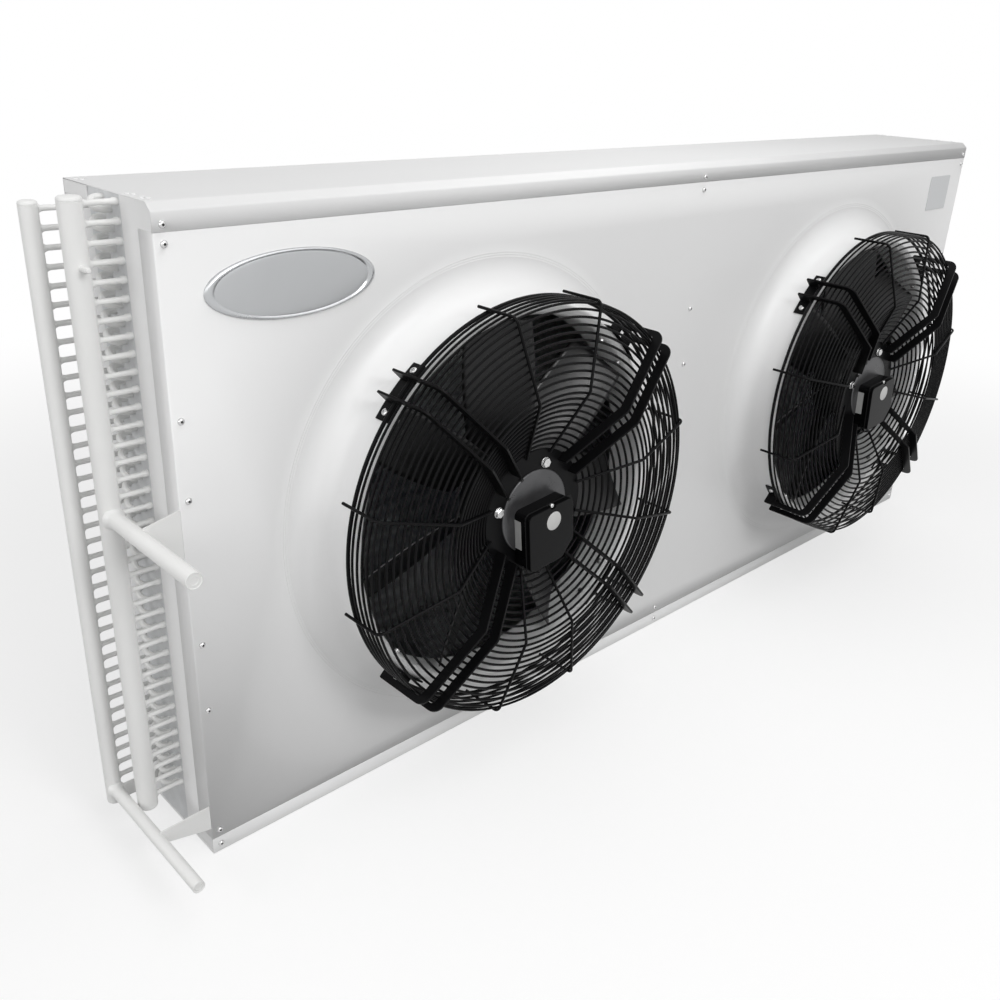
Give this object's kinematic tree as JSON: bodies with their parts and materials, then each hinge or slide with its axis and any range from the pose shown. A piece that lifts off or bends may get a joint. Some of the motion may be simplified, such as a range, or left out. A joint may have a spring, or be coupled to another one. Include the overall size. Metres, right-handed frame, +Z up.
{
  "type": "refrigeration condenser",
  "caption": "Air-cooled refrigeration condenser: finned coil in a white casing, side-by-side axial fans behind wire guards, pipe headers at one end.",
  "frame": {"origin": "centre of the casing's underside, on the surface it stands on", "axes": "+X along the casing away from the pipe headers, -Y the way the fans blow, +Z up"},
  "size_m": [2.4222, 0.4677, 1.0412],
  "materials": {
    "white_paint": "semi-gloss white powder coat",
    "galvanised_steel": "galvanised sheet",
    "zinc_screw": "zinc-plated",
    "white_rivet": "white",
    "badge_metal": "satin silver",
    "label_foil": "matt foil",
    "fin_aluminium": "mill finish",
    "copper_tube": "copper, drawn",
    "painted_pipe": "white brushed-on paint over copper and steel",
    "bearing_steel": "ground",
    "black_plastic": "glossy moulded plastic",
    "black_paint": "black powder coat",
    "motor_casting": "black-painted die casting",
    "cover_metal": "turned",
    "blade_paint": "black powder coat on steel"
  },
  "bodies": {
    "casing": {"base_tray": "white_paint", "blank_badge": "badge_metal", "blank_nameplate": "label_foil", "bracket_bolts": "zinc_screw", "cable_glands": "black_plastic", "centre_baffle": "galvanised_steel", "coil_base_channel": "galvanised_steel", "coil_tubes": "copper_tube", "cover_rivets": "white_rivet", "fin_pack": "fin_aluminium", "front_panel": "white_paint", "gas_feeders": "painted_pipe", "gas_header": "painted_pipe", "gas_pipe_bracket": "painted_pipe", "gas_stub": "painted_pipe", "guard_base_rings": "black_paint", "guard_brackets": "black_paint", "header_caps": "painted_pipe", "left_front_end_panel": "white_paint", "left_guard_arms": "black_paint", "left_guard_rings": "black_paint", "left_guard_spokes": "black_paint", "left_motor_mount_plate": "black_paint", "left_motor_stator": "motor_casting", "left_rear_end_panel": "white_paint", "left_return_bends": "painted_pipe", "left_stator_cover": "cover_metal", "left_terminal_box": "black_plastic", "left_terminal_lid": "black_plastic", "left_tube_sheet": "galvanised_steel", "lid_screws": "zinc_screw", "liquid_feeders": "painted_pipe", "liquid_header": "painted_pipe", "liquid_header_strap": "painted_pipe", "liquid_pipe_bracket": "painted_pipe", "liquid_stub": "painted_pipe", "motor_bearings": "bearing_steel", "motor_mount_bolts": "zinc_screw", "panel_screws": "zinc_screw", "right_front_end_panel": "white_paint", "right_guard_arms": "black_paint", "right_guard_rings": "black_paint", "right_guard_spokes": "black_paint", "right_motor_mount_plate": "black_paint", "right_motor_stator": "motor_casting", "right_rear_end_panel": "white_paint", "right_return_bends": "painted_pipe", "right_stator_cover": "cover_metal", "right_terminal_box": "black_plastic", "right_terminal_lid": "black_plastic", "right_tube_sheet": "galvanised_steel", "stub_plugs": "painted_pipe", "top_cover": "white_paint", "vent_valve": "painted_pipe"},
    "left_fan": {"left_motor_shaft": "bearing_steel", "left_rotor_can": "motor_casting", "left_impeller": "blade_paint"},
    "right_fan": {"right_motor_shaft": "bearing_steel", "right_rotor_can": "motor_casting", "right_impeller": "blade_paint"}
  },
  "joints": [
    {"name": "left_fan_spin", "type": "hinge", "parent": "casing", "child": "left_fan", "pos_m": [-0.575, -0.2, 0.506], "axis": [0, -1, 0], "continuous": true},
    {"name": "right_fan_spin", "type": "hinge", "parent": "casing", "child": "right_fan", "pos_m": [0.575, -0.2, 0.506], "axis": [0, -1, 0], "continuous": true}
  ]
}
